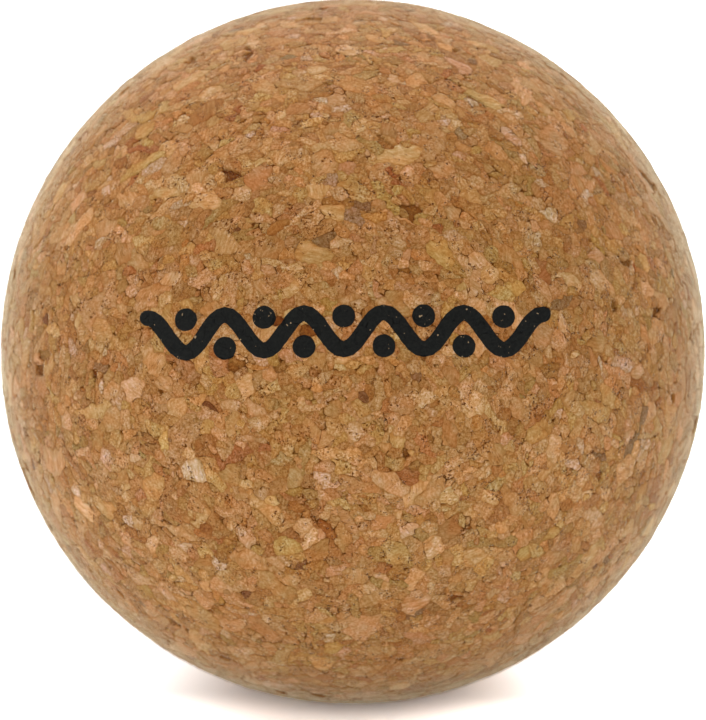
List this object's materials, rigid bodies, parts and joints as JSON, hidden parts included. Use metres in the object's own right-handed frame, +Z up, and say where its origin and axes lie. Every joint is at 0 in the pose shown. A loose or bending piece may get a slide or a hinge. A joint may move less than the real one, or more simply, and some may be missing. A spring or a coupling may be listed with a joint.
{
  "type": "massage ball",
  "caption": "Solid ball of pressed cork granules for rolling massage, with a printed wave and dot border on one side.",
  "frame": {"origin": "centre of the ball", "axes": "+Z up with the ball at rest on its lowest point; the print faces -Y and 21 degrees upwards; +X runs to the right along the print"},
  "size_m": [0.065, 0.065, 0.065],
  "materials": {
    "cork": "bonded cork granules, sanded, matt, with fine cracks and pits between granules",
    "ink": "thin matt black print, broken where it crosses pits and cracks"
  },
  "bodies": {
    "root": {"cork_ball": "cork", "printed_wave": "ink", "printed_dots": "ink"}
  },
  "joints": []
}
